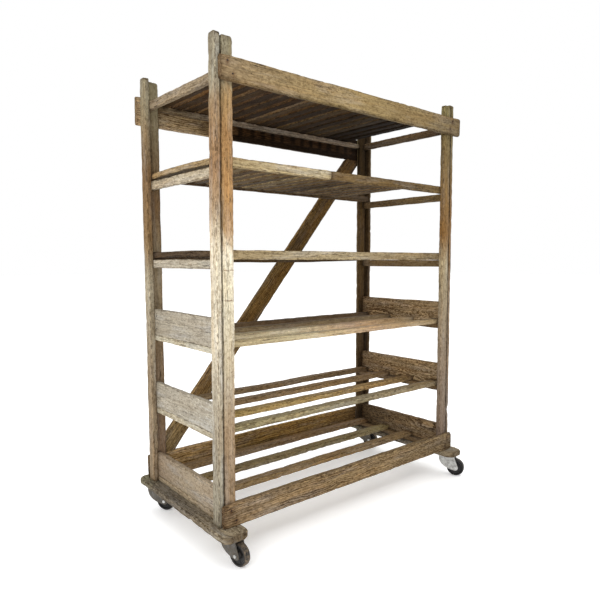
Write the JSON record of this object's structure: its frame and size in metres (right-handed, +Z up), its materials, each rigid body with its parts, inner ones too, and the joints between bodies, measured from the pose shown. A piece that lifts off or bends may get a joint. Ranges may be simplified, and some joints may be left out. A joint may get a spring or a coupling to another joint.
{
  "type": "slatted wooden rack on casters",
  "caption": "Tall old slatted wooden rack with open shelves, L-shaped corner posts, nailed end boards and aprons, a diagonal back brace and swivel casters.",
  "frame": {"origin": "on the floor, under the middle of the rack's bounding box", "axes": "+X along the long side to the right seen from the open front, +Y from the open front to the braced back, +Z up"},
  "size_m": [1.4153, 0.7214, 1.835],
  "materials": {
    "post_wood": "bare, worn and dirty",
    "board_wood": "bare, worn and dirty",
    "frame_wood": "bare, worn and dirty",
    "slat_wood": "bare, worn and dirty",
    "batten_wood": "bare, worn and dirty",
    "caster_steel": "dull zinc plate, dusty",
    "wheel_rubber": "black, semi-gloss, dusty tread",
    "rusty_steel": "rusty"
  },
  "bodies": {
    "rack": {"apron_back": "board_wood", "apron_front": "board_wood", "bearers_bottom": "frame_wood", "bearers_low": "frame_wood", "bearers_lower": "frame_wood", "bottom_rail_back": "board_wood", "bottom_rail_front": "board_wood", "caster_back_left_plate": "caster_steel", "caster_back_right_plate": "caster_steel", "caster_batten_left": "batten_wood", "caster_batten_right": "batten_wood", "caster_front_left_plate": "caster_steel", "caster_front_right_plate": "caster_steel", "caster_screws": "rusty_steel", "deck_rail_middle_back": "frame_wood", "deck_rail_middle_front": "frame_wood", "deck_rail_upper_back": "frame_wood", "deck_rail_upper_front": "frame_wood", "diagonal_brace": "board_wood", "end_board_bottom_left": "frame_wood", "end_board_bottom_right": "frame_wood", "end_board_low_left": "frame_wood", "end_board_low_right": "frame_wood", "end_board_lower_left": "frame_wood", "end_board_lower_right": "frame_wood", "end_rail_middle_left": "frame_wood", "end_rail_middle_right": "frame_wood", "end_rail_top_left": "frame_wood", "end_rail_top_right": "frame_wood", "end_rail_upper_left": "frame_wood", "end_rail_upper_right": "frame_wood", "ledger_top_back": "frame_wood", "ledger_top_front": "frame_wood", "nail_heads": "rusty_steel", "post_back_left_inner": "post_wood", "post_back_left_outer": "post_wood", "post_back_right_inner": "post_wood", "post_back_right_outer": "post_wood", "post_front_left_inner": "post_wood", "post_front_left_outer": "post_wood", "post_front_right_inner": "post_wood", "post_front_right_outer": "post_wood", "slats_bottom": "slat_wood", "slats_low": "slat_wood", "slats_lower": "slat_wood", "slats_middle": "slat_wood", "slats_top": "slat_wood", "slats_upper": "slat_wood"},
    "fork_front_left": {"caster_front_left_fork": "caster_steel", "caster_front_left_axle": "caster_steel"},
    "wheel_front_left": {"caster_front_left_wheel": "wheel_rubber"},
    "fork_front_right": {"caster_front_right_fork": "caster_steel", "caster_front_right_axle": "caster_steel"},
    "wheel_front_right": {"caster_front_right_wheel": "wheel_rubber"},
    "fork_back_left": {"caster_back_left_fork": "caster_steel", "caster_back_left_axle": "caster_steel"},
    "wheel_back_left": {"caster_back_left_wheel": "wheel_rubber"},
    "fork_back_right": {"caster_back_right_fork": "caster_steel", "caster_back_right_axle": "caster_steel"},
    "wheel_back_right": {"caster_back_right_wheel": "wheel_rubber"}
  },
  "joints": [
    {"name": "swivel_front_left", "type": "hinge", "parent": "rack", "child": "fork_front_left", "pos_m": [-0.62965, -0.28033, 0.1], "axis": [0, 0, 1], "continuous": true},
    {"name": "wheel_spin_front_left", "type": "hinge", "parent": "fork_front_left", "child": "wheel_front_left", "pos_m": [-0.62305, -0.31775, 0.042], "axis": [0.9848, 0.1736, 0], "continuous": true},
    {"name": "swivel_front_right", "type": "hinge", "parent": "rack", "child": "fork_front_right", "pos_m": [0.66435, -0.28033, 0.1], "axis": [0, 0, 1], "continuous": true},
    {"name": "wheel_spin_front_right", "type": "hinge", "parent": "fork_front_right", "child": "wheel_front_right", "pos_m": [0.67981, -0.31504, 0.042], "axis": [0.9135, 0.4067, 0], "continuous": true},
    {"name": "swivel_back_left", "type": "hinge", "parent": "rack", "child": "fork_back_left", "pos_m": [-0.62965, 0.29567, 0.1], "axis": [0, 0, 1], "continuous": true},
    {"name": "wheel_spin_back_left", "type": "hinge", "parent": "fork_back_left", "child": "wheel_back_left", "pos_m": [-0.60951, 0.26344, 0.042], "axis": [0.848, 0.5299, 0], "continuous": true},
    {"name": "swivel_back_right", "type": "hinge", "parent": "rack", "child": "fork_back_right", "pos_m": [0.66435, 0.29567, 0.1], "axis": [0, 0, 1], "continuous": true},
    {"name": "wheel_spin_back_right", "type": "hinge", "parent": "fork_back_right", "child": "wheel_back_right", "pos_m": [0.67735, 0.25996, 0.042], "axis": [0.9397, 0.342, 0], "continuous": true}
  ]
}
